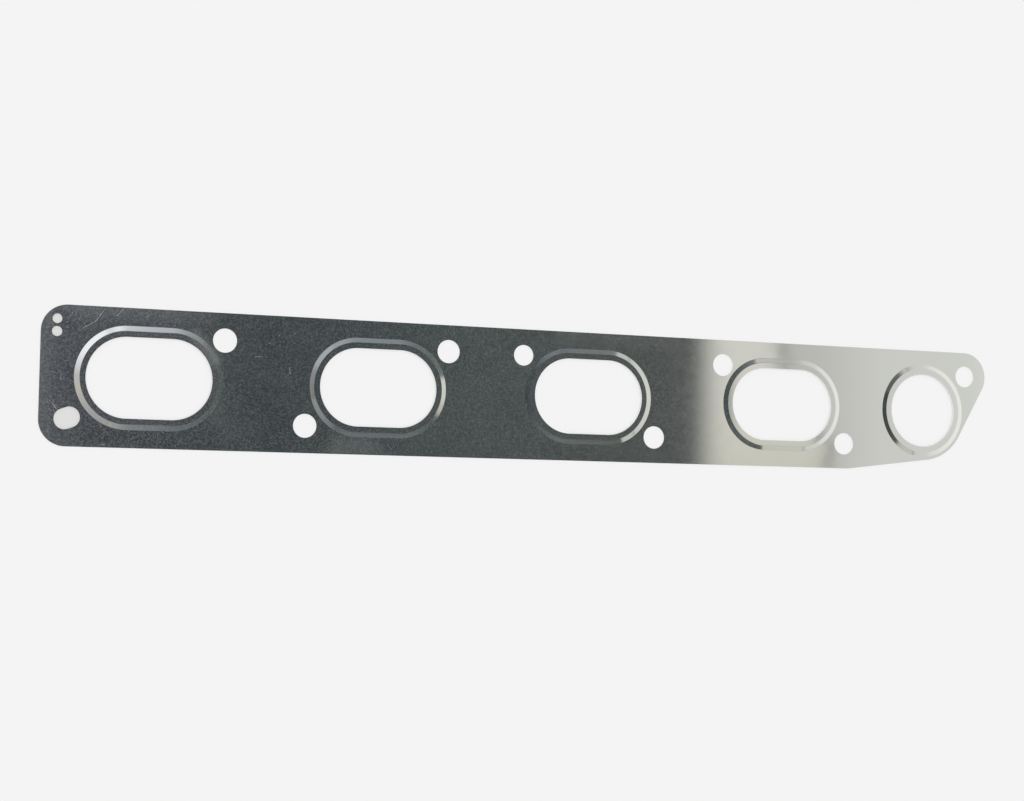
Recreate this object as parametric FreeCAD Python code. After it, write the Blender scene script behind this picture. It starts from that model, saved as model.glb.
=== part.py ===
import FreeCAD, Part
import math
import os

# An exhaust manifold gasket, stamped and embossed from one steel sheet.
# It has four oval ports and a round one in a row, each inside a half bead: the sheet
# rises round the port on a short slope and ends in a flat lip at the opening.
# All sizes are in millimetres. The sheet lies on z = 0 with its beads upwards, +X runs
# along the row of ports, and the origin is under the middle of the sheet's outer box.

# Sheet
sheet_thickness = 0.6
sheet_width = 57.0
corner_radius = 10.8
first_port_to_left_edge = 43.8

# Row of ports
oval_port_count = 4
port_pitch = 97.0
oval_port_length = 51.4
oval_port_width = 33.2
round_port_diameter = 34.4
last_oval_to_round_port = 75.5

# Half bead round each port
bead_height = 0.3
bead_slope_width = 2.3
bead_bend_radius = 1.5
oval_lip_width = 2.3
round_lip_width = 2.6

# Stud holes: two rows, each hole beside a port
stud_hole_diameter = 10.0
locating_hole_diameter = 9.0
stud_row_offset = 17.05
upper_outer_stud_offset = 30.6
upper_inner_stud_offset = 31.15
lower_inner_stud_offset = 31.9
lower_outer_stud_offset = 32.6
round_port_to_end_stud = 23.6

# Slotted locating hole in the lower left corner
slot_width = 8.4
slot_length = 10.45
slot_angle = 20.0

# Two small marking holes in the upper left corner, one above the other
marking_hole_diameters = (3.8, 4.0)
marking_holes_to_left_edge = 6.4
upper_marking_hole_to_edge = 5.8
marking_hole_pitch = 5.1

# Tapered end: the lower edge rises to the rim of the round port
round_port_rim = 1.3
last_oval_to_taper = 35.0
taper_bend_radius = 15.0


def point(x, y, z=0.0):
    return FreeCAD.Vector(x, y, z)


def polar(centre, radius, degrees):
    angle = math.radians(degrees)
    return centre + point(radius * math.cos(angle), radius * math.sin(angle))


def arc(centre, radius, start, end):
    middle = (start + end) / 2
    ends = [polar(centre, radius, a) for a in (start, middle, end)]
    return Part.Arc(*ends).toShape()


# Places along the row of ports
half_width = sheet_width / 2
end_radius = half_width - stud_row_offset
first_to_last_oval = (oval_port_count - 1) * port_pitch
first_port_to_right_edge = (
    first_to_last_oval + last_oval_to_round_port + round_port_to_end_stud + end_radius
)
left_edge = -(first_port_to_left_edge + first_port_to_right_edge) / 2
first_port = left_edge + first_port_to_left_edge
oval_ports = [first_port + n * port_pitch for n in range(oval_port_count)]
round_port = oval_ports[-1] + last_oval_to_round_port
end_stud = round_port + round_port_to_end_stud


def lower_tangent(corner, centre, radius):
    """Where the line from corner touches the underside of a circle, and its slope in degrees."""
    reach = centre - corner
    to_centre = math.degrees(math.atan2(reach.y, reach.x))
    slope = to_centre - math.degrees(math.asin(radius / reach.Length))
    return polar(centre, radius, slope - 90), slope


def outer_tangent_normal(centre_a, radius_a, centre_b, radius_b):
    """Direction, in degrees, in which the common tangent on the right of a to b faces."""
    reach = centre_b - centre_a
    along = math.degrees(math.atan2(reach.y, reach.x))
    return along - math.degrees(math.acos((radius_a - radius_b) / reach.Length))


def outline():
    """The blank's outer edge, counter-clockwise from the lower left corner."""
    rim_centre = point(round_port, 0)
    bead_radius = round_port_diameter / 2 + round_lip_width + bead_slope_width
    rim_radius = bead_radius + round_port_rim
    end_centre = point(end_stud, stud_row_offset)
    taper = point(oval_ports[-1] + last_oval_to_taper, -half_width)
    rim_start, slope = lower_tangent(taper, rim_centre, rim_radius)
    bend_length = taper_bend_radius * math.tan(math.radians(slope / 2))
    bend_start = taper - point(bend_length, 0)
    bend_centre = bend_start + point(0, taper_bend_radius)
    flank = outer_tangent_normal(rim_centre, rim_radius, end_centre, end_radius)
    left_centre = left_edge + corner_radius
    corner_height = half_width - corner_radius
    runs = [
        arc(point(left_centre, -corner_height), corner_radius, 180, 270),
        arc(bend_centre, taper_bend_radius, 270, 270 + slope),
        arc(rim_centre, rim_radius, slope - 90, flank),
        arc(end_centre, end_radius, flank, 90),
        arc(point(left_centre, corner_height), corner_radius, 90, 180),
    ]
    edges = []
    for run, following in zip(runs, runs[1:] + runs[:1]):
        start = run.valueAt(run.LastParameter)
        end = following.valueAt(following.FirstParameter)
        edges += [run, Part.LineSegment(start, end).toShape()]
    return Part.Wire(edges)


def stadium(x, half_straight, radius):
    """A port's outline at any distance from its opening; a circle where nothing is straight."""
    right = point(x + half_straight, 0)
    left = point(x - half_straight, 0)
    edges = [arc(right, radius, -90, 90), arc(left, radius, 90, 270)]
    if half_straight > 0:
        for side in (-1, 1):
            reach = point(0, side * radius)
            edges.append(Part.LineSegment(left + reach, right + reach).toShape())
    return Part.Wire(Part.__sortEdges__(edges))


def slope_angle():
    """Tilt of the slope, in radians, for bends that keep the sheet's thickness."""
    bends = 2 * bead_bend_radius + sheet_thickness
    drop = bends - bead_height
    return math.atan2(bead_slope_width, drop) - math.acos(bends / math.hypot(bead_slope_width, drop))


def bead_section(centre, outwards, opening_radius, lip_width):
    """Section through lip, slope and both bends, from the opening to the flat sheet."""
    tilt = slope_angle()
    crest_radius = opening_radius + lip_width
    foot_radius = crest_radius + bead_slope_width
    crest_centre = bead_height - bead_bend_radius
    foot_centre = sheet_thickness + bead_bend_radius
    inner_bend = bead_bend_radius
    outer_bend = bead_bend_radius + sheet_thickness

    def at(radius, height):
        return centre + outwards * radius + point(0, 0, height)

    def crest(bend, angle):
        return at(crest_radius + bend * math.sin(angle), crest_centre + bend * math.cos(angle))

    def foot(bend, angle):
        return at(foot_radius - bend * math.sin(angle), foot_centre - bend * math.cos(angle))

    def bend_arc(place, bend):
        return Part.Arc(place(bend, 0), place(bend, tilt / 2), place(bend, tilt)).toShape()

    def line(start, end):
        return Part.LineSegment(start, end).toShape()

    lip_under = at(opening_radius, bead_height)
    lip_top = at(opening_radius, bead_height + sheet_thickness)
    edges = [
        line(lip_under, crest(inner_bend, 0)),
        bend_arc(crest, inner_bend),
        line(crest(inner_bend, tilt), foot(outer_bend, tilt)),
        bend_arc(foot, outer_bend),
        line(foot(outer_bend, 0), foot(inner_bend, 0)),
        bend_arc(foot, inner_bend),
        line(foot(inner_bend, tilt), crest(outer_bend, tilt)),
        bend_arc(crest, outer_bend),
        line(crest(outer_bend, 0), lip_top),
        line(lip_top, lip_under),
    ]
    return Part.Face(Part.Wire(Part.__sortEdges__(edges)))


def bead_ring(x, half_straight, opening_radius, lip_width):
    """The raised ring round one port: turned at its two ends, drawn along its straights."""
    pieces = []
    for side in (1, -1):
        centre = point(x + side * half_straight, 0)
        start = bead_section(centre, point(0, -side), opening_radius, lip_width)
        pieces.append(start.revolve(centre, point(0, 0, 1), 180))
        if half_straight > 0:
            pieces.append(start.extrude(point(-side * 2 * half_straight, 0)))
    return pieces


def through_cut(wire):
    """A punch of this outline, longer than the sheet is thick on both sides."""
    punch_length = 3 * (sheet_thickness + bead_height)
    face = Part.Face(wire)
    face.translate(point(0, 0, -punch_length / 3))
    return face.extrude(point(0, 0, punch_length))


def round_hole(x, y, diameter):
    return through_cut(Part.Wire(Part.makeCircle(diameter / 2, point(x, y))))


def slotted_hole(x, y):
    wire = stadium(0, (slot_length - slot_width) / 2, slot_width / 2)
    slot = through_cut(wire)
    slot.rotate(point(0, 0), point(0, 0, 1), slot_angle)
    slot.translate(point(x, y))
    return slot


def stud_holes():
    """The holes beside the ports, from the left: rows above and below the ports."""
    first, second, third, fourth = oval_ports[0], oval_ports[1], oval_ports[-2], oval_ports[-1]
    upper = stud_row_offset
    lower = -stud_row_offset
    return [
        slotted_hole(first - lower_outer_stud_offset, lower),
        round_hole(first + upper_outer_stud_offset, upper, stud_hole_diameter),
        round_hole(second - lower_inner_stud_offset, lower, stud_hole_diameter),
        round_hole(second + upper_inner_stud_offset, upper, stud_hole_diameter),
        round_hole(third - upper_inner_stud_offset, upper, locating_hole_diameter),
        round_hole(third + lower_inner_stud_offset, lower, stud_hole_diameter),
        round_hole(fourth - upper_outer_stud_offset, upper, stud_hole_diameter),
        round_hole(fourth + lower_outer_stud_offset, lower, stud_hole_diameter),
        round_hole(end_stud, upper, stud_hole_diameter),
    ]


def marking_holes():
    x = left_edge + marking_holes_to_left_edge
    top = half_width - upper_marking_hole_to_edge
    return [
        round_hole(x, top - n * marking_hole_pitch, diameter)
        for n, diameter in enumerate(marking_hole_diameters)
    ]


def gasket_sheet():
    oval_half_straight = (oval_port_length - oval_port_width) / 2
    ports = [(x, oval_half_straight, oval_port_width / 2, oval_lip_width) for x in oval_ports]
    ports.append((round_port, 0, round_port_diameter / 2, round_lip_width))
    sheet = Part.Face(outline()).extrude(point(0, 0, sheet_thickness))
    feet = []
    rings = []
    for x, half_straight, radius, lip_width in ports:
        foot_radius = radius + lip_width + bead_slope_width
        feet.append(through_cut(stadium(x, half_straight, foot_radius)))
        rings += bead_ring(x, half_straight, radius, lip_width)
    sheet = sheet.cut(feet).fuse(rings)
    return sheet.cut(stud_holes() + marking_holes()).removeSplitter()


os.makedirs("parts", exist_ok=True)
gasket_sheet().exportStep("parts/gasket_sheet.step")
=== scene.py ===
import math

import bmesh
import bpy
from mathutils import Matrix, Vector


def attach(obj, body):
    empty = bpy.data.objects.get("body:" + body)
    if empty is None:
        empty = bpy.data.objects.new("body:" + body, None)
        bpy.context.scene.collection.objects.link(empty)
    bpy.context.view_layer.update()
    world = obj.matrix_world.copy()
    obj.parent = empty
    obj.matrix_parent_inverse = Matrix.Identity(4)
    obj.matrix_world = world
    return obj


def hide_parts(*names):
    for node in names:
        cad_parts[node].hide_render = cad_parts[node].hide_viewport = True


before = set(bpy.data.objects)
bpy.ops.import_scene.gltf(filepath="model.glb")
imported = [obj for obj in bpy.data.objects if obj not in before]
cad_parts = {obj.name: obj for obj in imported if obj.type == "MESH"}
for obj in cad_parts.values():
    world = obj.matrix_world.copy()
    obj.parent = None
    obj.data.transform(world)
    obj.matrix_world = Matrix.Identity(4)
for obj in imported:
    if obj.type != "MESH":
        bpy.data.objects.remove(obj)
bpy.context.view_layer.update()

# The gasket is one sheet of bright spring steel, 0.6 mm thick, blanked and pierced in one stroke.
# A half bead is pressed round each port: the sheet rises 0.3 mm on a short slope to a flat lip.
# The row of ports lies along X. The upper side is made first, then it gets its thickness.
sheet_thickness = 0.0006
bead_height = 0.0003
bead_slope_width = 0.0023
lip_rise = 0.000018
inner_bend = 0.0015
outer_bend = inner_bend + sheet_thickness
lip_top = sheet_thickness + bead_height
margin = 0.00025
edge_break = 0.00003
bend_steps = 6
port_steps = 72
hole_steps = 32
slot_steps = 24
both_bends = inner_bend + outer_bend
bead_drop = both_bends - bead_height + lip_rise
slope_tilt = math.atan2(bead_slope_width, bead_drop) - math.acos(
    both_bends / math.hypot(bead_slope_width, bead_drop)
)


def verts_of(geom):
    return [g for g in geom if isinstance(g, bmesh.types.BMVert)]


def edges_of(geom):
    return [g for g in geom if isinstance(g, bmesh.types.BMEdge)]


def turn(mesh, geom, centre, axis, angle, steps):
    """Turns a vertex or a section about an axis, leaving edges or faces, and gives its far end."""
    turned = bmesh.ops.spin(mesh, geom=geom, cent=centre, axis=axis, angle=angle, steps=steps)
    return turned["geom_last"]


def draw(mesh, geom, reach):
    """Draws a vertex or a section along a straight, and gives its far end."""
    drawn = bmesh.ops.spin(
        mesh, geom=geom, cent=(0, 0, 0), axis=(0, 0, 1), dvec=reach, angle=0, steps=1
    )
    return drawn["geom_last"]


def run_round(mesh, section, centre, half_straight, steps):
    """Takes a section that starts below the right-hand centre once round a hole."""
    for side in (1, -1):
        pivot = centre + Vector((side * half_straight, 0, 0))
        section = turn(mesh, section, pivot, (0, 0, 1), math.pi, steps)
        if half_straight > 0:
            section = draw(mesh, section, (-side * 2 * half_straight, 0, 0))


def flat_section(mesh, start, end):
    """A narrow piece of the flat sheet beside a punched edge."""
    edge = mesh.edges.new((mesh.verts.new(start), mesh.verts.new(end)))
    return [edge, *edge.verts]


def bead_section(mesh, centre, opening, lip):
    """The upper side from a port's opening down the slope to the flat sheet."""
    crest = opening + lip
    foot = crest + bead_slope_width

    def at(radius, height):
        return centre + Vector((0, -radius, height))

    rim = mesh.verts.new(at(opening, lip_top))
    crest_start = mesh.verts.new(at(crest, lip_top - lip_rise))
    foot_start = mesh.verts.new(at(foot, sheet_thickness))
    flat_end = mesh.verts.new(at(foot + margin, sheet_thickness))
    crest_centre = at(crest, lip_top - lip_rise - outer_bend)
    foot_centre = at(foot, sheet_thickness + inner_bend)
    crest_end = turn(mesh, [crest_start], crest_centre, (1, 0, 0), slope_tilt, bend_steps)
    foot_end = turn(mesh, [foot_start], foot_centre, (1, 0, 0), slope_tilt, bend_steps)
    mesh.edges.new((rim, crest_start))
    mesh.edges.new(verts_of(crest_end) + verts_of(foot_end))
    mesh.edges.new((foot_start, flat_end))
    edges = [e for e in mesh.edges if not e.link_faces]
    return edges + list({v for e in edges for v in e.verts})


formed = bmesh.new()
flat = bmesh.new()

# Each port has its middle, half its straight, the radius of its opening and the width of its lip.
oval_ports = (-0.178875, -0.081875, 0.015125, 0.112125)
ports = [(x, 0.0091, 0.0166, 0.0023) for x in oval_ports]
ports.append((0.187625, 0.0, 0.0172, 0.0026))
for x, half_straight, opening, lip in ports:
    middle = Vector((x, 0, 0))
    right = middle + Vector((half_straight, 0, 0))
    section = bead_section(formed, right, opening, lip)
    run_round(formed, section, middle, half_straight, port_steps)
    reach = opening + lip + bead_slope_width + margin
    flat_start = flat.verts.new(right + Vector((0, -reach, sheet_thickness)))
    run_round(flat, [flat_start], middle, half_straight, port_steps)

# Each round hole has its middle and its radius. Eight are for studs, and the last two mark the sheet.
stud_row = 0.01705
stud_radius = 0.005
round_holes = [
    (-0.148275, stud_row, stud_radius),
    (-0.113775, -stud_row, stud_radius),
    (-0.050725, stud_row, stud_radius),
    (-0.016025, stud_row, 0.0045),
    (0.047025, -stud_row, stud_radius),
    (0.081525, stud_row, stud_radius),
    (0.144725, -stud_row, stud_radius),
    (0.211225, stud_row, stud_radius),
    (-0.216275, 0.0227, 0.0019),
    (-0.216275, 0.0176, 0.0020),
]
for x, y, radius in round_holes:
    middle = Vector((x, y, 0))
    rim = middle + Vector((0, -radius, sheet_thickness))
    flat_start = rim - Vector((0, margin, 0))
    run_round(formed, flat_section(formed, rim, flat_start), middle, 0, hole_steps)
    run_round(flat, [flat.verts.new(flat_start)], middle, 0, hole_steps)

# The slotted hole is drawn along X at the origin, then turned and moved to its place.
slot_half_straight = 0.001025
slot_radius = 0.0042
slot_turn = Matrix.Rotation(math.radians(20), 4, "Z")
slot_place = Matrix.Translation((-0.211475, -stud_row, 0)) @ slot_turn
rim = Vector((slot_half_straight, -slot_radius, sheet_thickness))
flat_start = rim - Vector((0, margin, 0))
for mesh in (formed, flat):
    others = set(mesh.verts)
    section = [mesh.verts.new(flat_start)] if mesh is flat else flat_section(mesh, rim, flat_start)
    run_round(mesh, section, Vector((0, 0, 0)), slot_half_straight, slot_steps)
    slot = [v for v in mesh.verts if v not in others]
    bmesh.ops.transform(mesh, matrix=slot_place, verts=slot)

# Each arc of the outline has its centre, its radius, its two angles in degrees and its steps.
corner_arcs = [
    ((-0.211875, -0.0177), 0.0108, 180, 270, 24),
    ((0.146216, -0.0135), 0.015, 270, 276.937, 4),
    ((0.187625, 0.0), 0.0234, -83.063, -29.921, 40),
    ((0.211225, 0.01705), 0.01145, -29.921, 90, 48),
    ((-0.211875, 0.0177), 0.0108, 90, 180, 24),
]
rim_ends = []
flat_ends = []
for (x, y), radius, start, end, steps in corner_arcs:
    middle = Vector((x, y, sheet_thickness))
    outwards = Matrix.Rotation(math.radians(start), 3, "Z") @ Vector((1, 0, 0))
    rim = middle + outwards * radius
    flat_start = middle + outwards * (radius - margin)
    sweep = math.radians(end - start)
    section = flat_section(formed, flat_start, rim)
    last = turn(formed, section, middle, (0, 0, 1), sweep, steps)
    rim_ends.append((section[0], edges_of(last)[0]))
    first = flat.verts.new(flat_start)
    last = turn(flat, [first], middle, (0, 0, 1), sweep, steps)
    flat_ends.append((first, verts_of(last)[0]))
for n in range(len(corner_arcs)):
    following = (n + 1) % len(corner_arcs)
    bmesh.ops.contextual_create(formed, geom=[rim_ends[n][1], rim_ends[following][0]])
    flat.edges.new((flat_ends[n][1], flat_ends[following][0]))

bmesh.ops.remove_doubles(flat, verts=flat.verts, dist=1e-6)
bmesh.ops.triangle_fill(flat, edges=flat.edges[:], normal=(0, 0, 1), use_beauty=True)
flat_mesh = bpy.data.meshes.new("gasket_sheet_steel")
flat.to_mesh(flat_mesh)
formed.from_mesh(flat_mesh)
bmesh.ops.remove_doubles(formed, verts=formed.verts, dist=2e-6)
bmesh.ops.recalc_face_normals(formed, faces=formed.faces[:])
bmesh.ops.solidify(formed, geom=formed.faces[:], thickness=sheet_thickness)
punched_angle = math.radians(60)
punched = [e for e in formed.edges if e.calc_face_angle() > punched_angle]
bmesh.ops.bevel(
    formed, geom=punched, offset=edge_break, segments=1, affect="EDGES", profile=0.5, material=-1
)
# The upright faces are the punched walls, and take the second material.
for face in formed.faces:
    face.smooth = True
    face.material_index = int(abs(face.normal.z) < 0.5)
steel_mesh = bpy.data.meshes.new("gasket_sheet_steel")
formed.to_mesh(steel_mesh)
crease_angle = math.radians(12)
steel_mesh.set_sharp_from_angle(angle=crease_angle)
gasket = bpy.data.objects.new("gasket_sheet_steel", steel_mesh)
bpy.context.scene.collection.objects.link(gasket)

steel = bpy.data.materials.new("rolled_steel")
steel.use_nodes = True
nodes = steel.node_tree.nodes
links = steel.node_tree.links
shader = nodes["Principled BSDF"]
shader.inputs["Base Color"].default_value = (0.62, 0.63, 0.63, 1)
place = nodes.new("ShaderNodeTexCoord")


def noise(scale, detail, roughness):
    texture = nodes.new("ShaderNodeTexNoise")
    texture.inputs["Scale"].default_value = scale
    texture.inputs["Detail"].default_value = detail
    texture.inputs["Roughness"].default_value = roughness
    links.new(place.outputs["Object"], texture.inputs["Vector"])
    return texture.outputs["Fac"]


def spread(value, low, high, least, most):
    """Stretches a value from one range to another, and holds it there."""
    stretched = nodes.new("ShaderNodeMapRange")
    stretched.inputs["From Min"].default_value = low
    stretched.inputs["From Max"].default_value = high
    stretched.inputs["To Min"].default_value = least
    stretched.inputs["To Max"].default_value = most
    links.new(value, stretched.inputs["Value"])
    return stretched.outputs["Result"]


def combine(operation, first, second):
    joined = nodes.new("ShaderNodeMath")
    joined.operation = operation
    links.new(first, joined.inputs[0])
    links.new(second, joined.inputs[1])
    return joined.outputs["Value"]


def scratch_nodes():
    """A group that gives 1 along a line between two points and 0 beyond a distance from it."""
    group = bpy.data.node_groups.new("scratch", "ShaderNodeTree")
    for name in ("Place", "Start", "End"):
        group.interface.new_socket(name, in_out="INPUT", socket_type="NodeSocketVector")
    group.interface.new_socket("Reach", in_out="INPUT", socket_type="NodeSocketFloat")
    group.interface.new_socket("Mark", in_out="OUTPUT", socket_type="NodeSocketFloat")
    given = group.nodes.new("NodeGroupInput")
    result = group.nodes.new("NodeGroupOutput")

    def vector(operation, first, second, output="Vector"):
        node = group.nodes.new("ShaderNodeVectorMath")
        node.operation = operation
        group.links.new(first, node.inputs[0])
        group.links.new(second, node.inputs["Scale"] if operation == "SCALE" else node.inputs[1])
        return node.outputs[output]

    length = vector("SUBTRACT", given.outputs["End"], given.outputs["Start"])
    reach = vector("SUBTRACT", given.outputs["Place"], given.outputs["Start"])
    along = group.nodes.new("ShaderNodeMath")
    along.operation = "DIVIDE"
    along.use_clamp = True
    group.links.new(vector("DOT_PRODUCT", reach, length, "Value"), along.inputs[0])
    group.links.new(vector("DOT_PRODUCT", length, length, "Value"), along.inputs[1])
    nearest = vector("SCALE", length, along.outputs["Value"])
    away = vector("DISTANCE", reach, nearest, "Value")
    fade = group.nodes.new("ShaderNodeMapRange")
    fade.interpolation_type = "SMOOTHSTEP"
    fade.inputs["To Min"].default_value = 1.0
    fade.inputs["To Max"].default_value = 0.0
    group.links.new(away, fade.inputs["Value"])
    group.links.new(given.outputs["Reach"], fade.inputs["From Max"])
    group.links.new(fade.outputs["Result"], result.inputs["Mark"])
    return group


def mark_haze(start, end, reach, haze_added):
    """Haze along a line on the steel, or in a spot where both ends are the same."""
    mark = nodes.new("ShaderNodeGroup")
    mark.node_tree = scratch
    mark.inputs["Start"].default_value = (*start, sheet_thickness)
    mark.inputs["End"].default_value = (*end, sheet_thickness)
    mark.inputs["Reach"].default_value = reach
    links.new(place.outputs["Object"], mark.inputs["Place"])
    return spread(mark.outputs["Mark"], 0, 1, 0, haze_added)


# Haze is the share of the light that the steel scatters and doesn't mirror.
# Fine grain scatters a little, most at the left end, and scratches scatter more.
across = nodes.new("ShaderNodeSeparateXYZ")
links.new(place.outputs["Object"], across.inputs["Vector"])
handling = combine(
    "MULTIPLY",
    spread(across.outputs["X"], -0.216, -0.13, 1.35, 0.85),
    spread(across.outputs["X"], 0.08, 0.16, 1.0, 0.3),
)
grain = spread(noise(1150, 2, 0.9), 0.44, 0.74, 0.035, 0.175)
smudges = spread(noise(60, 2, 0.5), 0.3, 0.7, -0.008, 0.008)
haze = combine("ADD", combine("MULTIPLY", grain, handling), smudges)

scratch_reach = 0.00021
scratches = [
    ((-0.1979, 0.0272), (-0.2007, 0.0227), 0.40),
    ((-0.2009, 0.0225), (-0.2061, 0.0193), 0.55),
    ((-0.1903, 0.0277), (-0.1926, 0.0251), 0.48),
    ((-0.2103, 0.0256), (-0.2119, 0.0228), 0.38),
    ((-0.2069, 0.0243), (-0.2076, 0.0231), 0.34),
    ((-0.1798, 0.0258), (-0.1811, 0.0250), 0.34),
    ((-0.2178, -0.0107), (-0.2150, -0.0144), 0.52),
    ((-0.1207, 0.0071), (-0.1204, 0.0042), 0.48),
    ((-0.1354, 0.0110), (-0.1333, 0.0111), 0.42),
    ((-0.1975, -0.0274), (-0.1962, -0.0273), 0.62),
]
speck_reach = 0.0005
speck_haze = 0.22
specks = [
    (-0.2184, -0.0104), (-0.2168, -0.0107), (-0.2183, -0.0140), (-0.2144, -0.0002),
    (-0.2144, -0.0012), (-0.1254, 0.0203), (-0.1294, 0.0168), (-0.1186, 0.0215),
]
patches = [
    ((-0.1520, 0.0080), (-0.1500, -0.0160), 0.0060, 0.025),
    ((-0.0990, -0.0262), (-0.0870, -0.0256), 0.0090, 0.060),
    ((-0.2200, 0.0200), (-0.2200, -0.0180), 0.0090, 0.010),
    ((-0.2080, 0.0270), (-0.1560, 0.0270), 0.0080, 0.035),
    ((0.0020, 0.0270), (0.0540, 0.0270), 0.0080, 0.030),
    ((-0.1530, 0.0090), (-0.1605, 0.0180), 0.0050, 0.110),
    ((-0.2000, -0.0280), (-0.1550, -0.0260), 0.0110, -0.020),
]
breaks = spread(noise(1500, 2, 0.5), 0.40, 0.60, 0.35, 1.25)
scratch = scratch_nodes()
for start, end, haze_added in scratches:
    added = mark_haze(start, end, scratch_reach, haze_added)
    haze = combine("ADD", haze, combine("MULTIPLY", added, breaks))
for speck in specks:
    haze = combine("ADD", haze, mark_haze(speck, speck, speck_reach, speck_haze))
for start, end, reach, haze_added in patches:
    haze = combine("ADD", haze, mark_haze(start, end, reach, haze_added))
links.new(spread(haze, 0, 1, 1, 0), shader.inputs["Metallic"])
links.new(spread(noise(200, 2, 0.5), 0.3, 0.7, 0.055, 0.07), shader.inputs["Roughness"])

# The punched wall is near white and mostly diffuse, with faint upright lines from the shearing. Its
# paleness is partly the bright cut steel and partly painted reflection of the pale floor that the
# steel wall mirrors.
sheared_wall_and_sheen = bpy.data.materials.new("sheared_edge_painted_sheen")
sheared_wall_and_sheen.use_nodes = True
nodes = sheared_wall_and_sheen.node_tree.nodes
links = sheared_wall_and_sheen.node_tree.links
shader = nodes["Principled BSDF"]
# The near-white base with little metal is partly painted reflection of the pale floor.
shader.inputs["Base Color"].default_value = (0.94, 0.94, 0.93, 1)
place = nodes.new("ShaderNodeTexCoord")
upright = nodes.new("ShaderNodeMapping")
upright.inputs["Scale"].default_value = (1, 1, 0.1)
links.new(place.outputs["Object"], upright.inputs["Vector"])
lines = nodes.new("ShaderNodeTexNoise")
lines.inputs["Scale"].default_value = 4000
links.new(upright.outputs["Vector"], lines.inputs["Vector"])
links.new(spread(lines.outputs["Fac"], 0.3, 0.7, 0.4, 0.5), shader.inputs["Roughness"])
links.new(spread(lines.outputs["Fac"], 0.3, 0.7, 0.20, 0.10), shader.inputs["Metallic"])

steel_mesh.materials.append(steel)
steel_mesh.materials.append(sheared_wall_and_sheen)
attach(gasket, "root")
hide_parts("gasket_sheet")

# The floor is plain and pale, and keeps the soft shadow under the sheet's edges. Half of what the
# camera sees of it is its own glow, so the narrow gap under each lip doesn't go too dark.
pale = (0.905, 0.905, 0.905)
floor_drop = 0.00002
floor_paint = bpy.data.materials.new("pale_floor")
floor_paint.use_nodes = True
nodes = floor_paint.node_tree.nodes
links = floor_paint.node_tree.links
shader = nodes["Principled BSDF"]
shader.inputs["Base Color"].default_value = (*pale, 1)
shader.inputs["Roughness"].default_value = 1.0
shader.inputs["Specular IOR Level"].default_value = 0.0
glow = nodes.new("ShaderNodeEmission")
glow.inputs["Color"].default_value = (*pale, 1)
ray = nodes.new("ShaderNodeLightPath")
lift = nodes.new("ShaderNodeMixShader")
links.new(spread(ray.outputs["Is Camera Ray"], 0, 1, 0, 0.5), lift.inputs["Fac"])
links.new(shader.outputs["BSDF"], lift.inputs[1])
links.new(glow.outputs["Emission"], lift.inputs[2])
links.new(lift.outputs["Shader"], nodes["Material Output"].inputs["Surface"])
floor_mesh = bpy.data.meshes.new("floor")
ground = bmesh.new()
bmesh.ops.create_grid(ground, x_segments=1, y_segments=1, size=20)
bmesh.ops.translate(ground, vec=(0, 0, -floor_drop), verts=ground.verts)
ground.to_mesh(floor_mesh)
floor_paint.cycles.emission_sampling = "NONE"
floor_mesh.materials.append(floor_paint)
floor = bpy.data.objects.new("floor", floor_mesh)
bpy.context.scene.collection.objects.link(floor)

# A grey slip lies under the left end, just above the floor. It is painted shade, standing in for the
# shade under the sheet, and it shows through the slotted hole and the two small holes.
slip_width = 0.014
slip_length = 0.0495
slip_middle = -0.2125
slip_drop = 0.00001
shade_slip_paint = bpy.data.materials.new("painted_shade_slip")
shade_slip_paint.use_nodes = True
shader = shade_slip_paint.node_tree.nodes["Principled BSDF"]
# This grey is painted shade: the floor under the sheet's left end seen through the holes is this much
# darker.
shader.inputs["Base Color"].default_value = (0.74, 0.74, 0.735, 1)
shader.inputs["Roughness"].default_value = 1.0
shader.inputs["Specular IOR Level"].default_value = 0.0
shade_slip_mesh = bpy.data.meshes.new("shade_slip")
shade_slip_bmesh = bmesh.new()
bmesh.ops.create_grid(shade_slip_bmesh, x_segments=1, y_segments=1, size=0.5)
bmesh.ops.scale(shade_slip_bmesh, vec=(slip_width, slip_length, 1), verts=shade_slip_bmesh.verts)
bmesh.ops.translate(shade_slip_bmesh, vec=(slip_middle, 0, -slip_drop), verts=shade_slip_bmesh.verts)
shade_slip_bmesh.to_mesh(shade_slip_mesh)
shade_slip_mesh.materials.append(shade_slip_paint)
shade_slip = bpy.data.objects.new("shade_slip", shade_slip_mesh)
bpy.context.scene.collection.objects.link(shade_slip)

# The room is evenly bright, and lights the floor from all sides.
# The camera and the mirroring steel see it as pale as the floor.
room = bpy.data.worlds.new("bright_room")
room.use_nodes = True
bpy.context.scene.world = room
nodes = room.node_tree.nodes
links = room.node_tree.links
background = nodes["Background"]
background.inputs["Strength"].default_value = 1.0
ray = nodes.new("ShaderNodeLightPath")
seen = combine("MAXIMUM", ray.outputs["Is Camera Ray"], ray.outputs["Is Glossy Ray"])
seen = combine("MAXIMUM", seen, ray.outputs["Is Transmission Ray"])
shade = nodes.new("ShaderNodeMix")
shade.data_type = "RGBA"
shade.inputs["A"].default_value = (1, 1, 1, 1)
shade.inputs["B"].default_value = (*pale, 1)
links.new(seen, shade.inputs["Factor"])
links.new(shade.outputs["Result"], background.inputs["Color"])

# Cards hang 1.2 m over the sheet. Only mirror reflections see them, and the steel shows them:
# a dark ceiling over the first three ports, and pale panels round it.
card_height = 1.2006
card_spacing = 0.001


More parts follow.
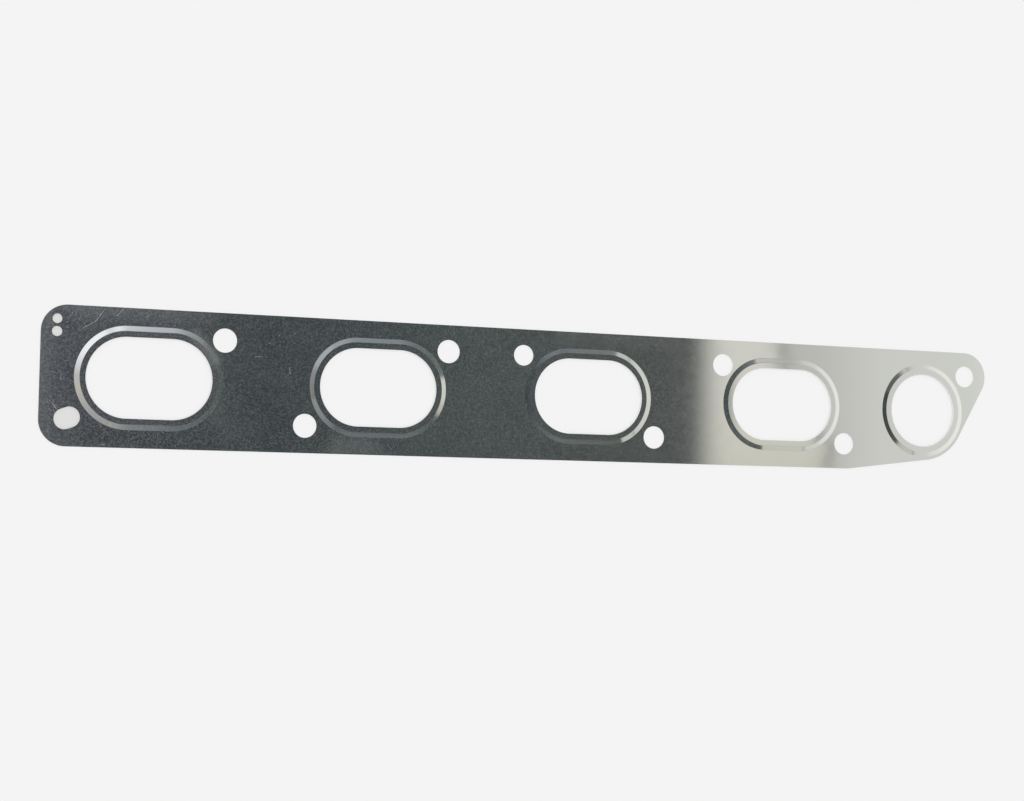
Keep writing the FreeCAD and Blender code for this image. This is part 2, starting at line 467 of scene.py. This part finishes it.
def hang_card(name, order, corners, axis, shades, fades):
    """A flat card. Each shade has its place along the axis and its colour.

    Each fade has its axis, the place where the card is gone and the place where it is full.
    """
    mesh = bpy.data.meshes.new(name)
    card = bmesh.new()
    height = card_height - order * card_spacing
    verts = [card.verts.new((x, y, height)) for x, y in corners]
    sides = [card.edges.new(pair) for pair in zip(verts, verts[1:] + verts[:1])]
    bmesh.ops.edgeloop_fill(card, edges=sides)
    card.to_mesh(mesh)
    paint = bpy.data.materials.new(name)
    paint.use_nodes = True
    nodes = paint.node_tree.nodes
    links = paint.node_tree.links
    nodes.remove(nodes["Principled BSDF"])
    glow = nodes.new("ShaderNodeEmission")
    clear = nodes.new("ShaderNodeBsdfTransparent")
    place = nodes.new("ShaderNodeTexCoord")
    part = nodes.new("ShaderNodeSeparateXYZ")
    links.new(place.outputs["Object"], part.inputs["Vector"])
    across = nodes.new("ShaderNodeMapRange")
    start = shades[0][0]
    end = shades[-1][0]
    across.inputs["From Min"].default_value = start
    across.inputs["From Max"].default_value = end
    links.new(part.outputs[axis], across.inputs["Value"])
    ramp = nodes.new("ShaderNodeValToRGB")
    stops = ramp.color_ramp.elements
    while len(stops) < len(shades):
        stops.new(0.5)
    for stop, (at, shade) in zip(stops, shades):
        stop.position = (at - start) / (end - start)
        stop.color = (*shade, 1)
    links.new(across.outputs["Result"], ramp.inputs["Fac"])
    links.new(ramp.outputs["Color"], glow.inputs["Color"])
    cover = glow.outputs["Emission"]
    for fade_axis, gone, full in fades:
        fade = nodes.new("ShaderNodeMapRange")
        fade.interpolation_type = "SMOOTHSTEP"
        fade.inputs["From Min"].default_value = gone
        fade.inputs["From Max"].default_value = full
        links.new(part.outputs[fade_axis], fade.inputs["Value"])
        blend = nodes.new("ShaderNodeMixShader")
        links.new(fade.outputs["Result"], blend.inputs["Fac"])
        links.new(clear.outputs["BSDF"], blend.inputs[1])
        links.new(cover, blend.inputs[2])
        cover = blend.outputs["Shader"]
    links.new(cover, nodes["Material Output"].inputs["Surface"])
    paint.cycles.emission_sampling = "NONE"
    mesh.materials.append(paint)
    hung = bpy.data.objects.new(name, mesh)
    bpy.context.scene.collection.objects.link(hung)
    hung.visible_camera = False
    hung.visible_diffuse = False
    hung.visible_transmission = False
    hung.visible_volume_scatter = False
    hung.visible_shadow = False


def oblong(left, right, front, back):
    return [(left, front), (right, front), (right, back), (left, back)]


# The dark ceiling, and three pale panels that fade into it from the back, the front and the left.
hang_card(
    "dark_ceiling", 0, oblong(-0.6, 0.9, -0.9, 1.1), "X",
    [(-0.12, (0.026, 0.036, 0.058)), (-0.02, (0.044, 0.051, 0.063)), (0.09, (0.048, 0.061, 0.066)),
     (0.16, (0.041, 0.055, 0.060)), (0.40, (0.064, 0.085, 0.084)), (0.63, (0.074, 0.084, 0.079))],
    [],
)
hang_card(
    "back_panel", 1, oblong(-0.6, 0.9, 0.26, 1.1), "X",
    [(-0.06, (1.52, 1.55, 1.58)), (0.04, (0.80, 0.825, 0.87)), (0.22, (0.395, 0.435, 0.465)),
     (0.47, (0.20, 0.22, 0.235)), (0.67, (0.26, 0.285, 0.28))],
    [("Y", 0.26, 0.54)],
)
hang_card(
    "front_panel", 2, oblong(-0.6, 0.9, -0.9, 0.03), "X",
    [(-0.13, (0.715, 0.715, 0.68)), (0.07, (0.16, 0.19, 0.215)),
     (0.42, (0.18, 0.21, 0.205)), (0.67, (0.11, 0.125, 0.105))],
    [("Y", 0.03, -0.38)],
)
hang_card(
    "left_panel", 3, oblong(-1.8, -0.03, -1.5, 1.5), "Y",
    [(-0.30, (0.43, 0.40, 0.42)), (-0.15, (0.50, 0.52, 0.53)), (0.0, (0.74, 0.675, 0.61)),
     (0.10, (0.70, 0.70, 0.68)), (0.20, (1.08, 1.06, 1.11)), (0.30, (1.36, 1.39, 1.40))],
    [("X", -0.06, -0.19)],
)
# On the right, which the last two ports mirror: a pale wall and a window in its dark frame.
hang_card(
    "right_wall", 4,
    [(0.655, -0.19), (0.745, -0.28), (0.755, -0.33), (0.76, -1.8), (2.8, -1.8), (2.8, 1.8),
     (0.655, 1.8)], "X",
    [(0.70, (0.66, 0.655, 0.61)), (0.78, (0.745, 0.737, 0.69)), (0.83, (0.77, 0.760, 0.715)),
     (0.91, (0.93, 0.925, 0.87)), (1.03, (0.94, 0.940, 0.88)), (1.12, (1.09, 1.095, 1.04)),
     (1.25, (1.18, 1.185, 1.12)), (1.42, (1.25, 1.25, 1.17))],
    [("X", 0.655, 0.705)],
)
hang_card(
    "window_panel", 5,
    [(0.755, -0.33), (0.857, -0.33), (0.855, -0.26), (0.830, 0.027), (0.832, 0.033),
     (0.837, 0.044), (0.835, 0.052), (0.812, 0.070), (0.769, 0.157), (0.810, 0.44),
     (0.800, 0.52), (0.655, 0.52), (0.655, -0.19), (0.745, -0.28)], "Y",
    [(-0.31, (0.88, 0.875, 0.75)), (-0.20, (0.75, 0.75, 0.70)), (-0.02, (0.72, 0.71, 0.65)),
     (0.03, (0.92, 0.895, 0.77)), (0.10, (0.98, 0.96, 0.86)), (0.16, (0.98, 0.96, 0.87)),
     (0.48, (0.75, 0.755, 0.69))],
    [("X", 0.655, 0.705)],
)
hang_card(
    "panel_frame", 6,
    [(0.857, -0.33), (0.867, -0.33), (0.865, -0.26), (0.840, 0.027), (0.842, 0.033),
     (0.847, 0.044), (0.845, 0.052), (0.822, 0.070), (0.779, 0.157), (0.828, 0.44),
     (0.852, 0.52), (0.800, 0.52), (0.810, 0.44), (0.769, 0.157), (0.812, 0.070),
     (0.835, 0.052), (0.837, 0.044), (0.832, 0.033), (0.830, 0.027), (0.855, -0.26)], "Y",
    [(-0.3, (0.24, 0.24, 0.22)), (0.36, (0.24, 0.24, 0.22)), (0.46, (0.62, 0.62, 0.57))],
    [],
)
# Small things that show in single beads.
hang_card(
    "dark_stand", 7, oblong(0.45, 0.80, 0.19, 0.42), "X",
    [(0.45, (0.10, 0.12, 0.12)), (0.80, (0.20, 0.22, 0.21))],
    [("Y", 0.19, 0.25), ("Y", 0.42, 0.36), ("X", 0.45, 0.52), ("X", 0.80, 0.75)],
)
hang_card(
    "side_panel", 8, oblong(-0.16, 0.09, 0.15, 0.47), "X",
    [(-0.16, (0.54, 0.56, 0.59)), (0.09, (0.56, 0.58, 0.61))],
    [("X", 0.09, 0.03), ("X", -0.16, -0.10), ("Y", 0.15, 0.27), ("Y", 0.47, 0.41)],
)
hang_card(
    "lower_left_panel", 9, oblong(-0.16, 0.10, -0.28, 0.03), "X",
    [(-0.10, (0.37, 0.37, 0.36)), (-0.04, (0.31, 0.33, 0.34)), (0.06, (0.19, 0.21, 0.22))],
    [("X", 0.10, 0.04), ("X", -0.16, -0.11), ("Y", 0.03, -0.03), ("Y", -0.28, -0.22)],
)
hang_card(
    "window_bar", 10, oblong(0.745, 0.805, 0.045, 0.145), "X",
    [(0.745, (0.66, 0.67, 0.63)), (0.805, (0.66, 0.67, 0.63))],
    [("X", 0.745, 0.762), ("X", 0.805, 0.79), ("Y", 0.045, 0.06), ("Y", 0.145, 0.13)],
)
hang_card(
    "orange_box", 11, oblong(-0.140, -0.095, -0.295, -0.245), "X",
    [(-0.140, (0.70, 0.56, 0.46)), (-0.095, (0.74, 0.60, 0.51))],
    [("X", -0.140, -0.122), ("X", -0.095, -0.110), ("Y", -0.295, -0.280), ("Y", -0.245, -0.258)],
)

# The camera stands left of the sheet's middle and looks down a little to the right.
camera_data = bpy.data.cameras.new("camera")
camera_data.lens = 66.07
camera_data.sensor_width = 36
camera = bpy.data.objects.new("camera", camera_data)
bpy.context.scene.collection.objects.link(camera)
camera_place = Matrix.Translation((-0.3120, -0.060423, 0.764447))
camera_turn = Matrix((
    (0.93416, -0.03729, -0.35489),
    (0.01318, 0.99745, -0.07010),
    (0.35660, 0.06080, 0.93228),
))
camera.matrix_world = camera_place @ camera_turn.to_4x4()
bpy.context.scene.camera = camera
bpy.context.scene.view_settings.view_transform = "Standard"
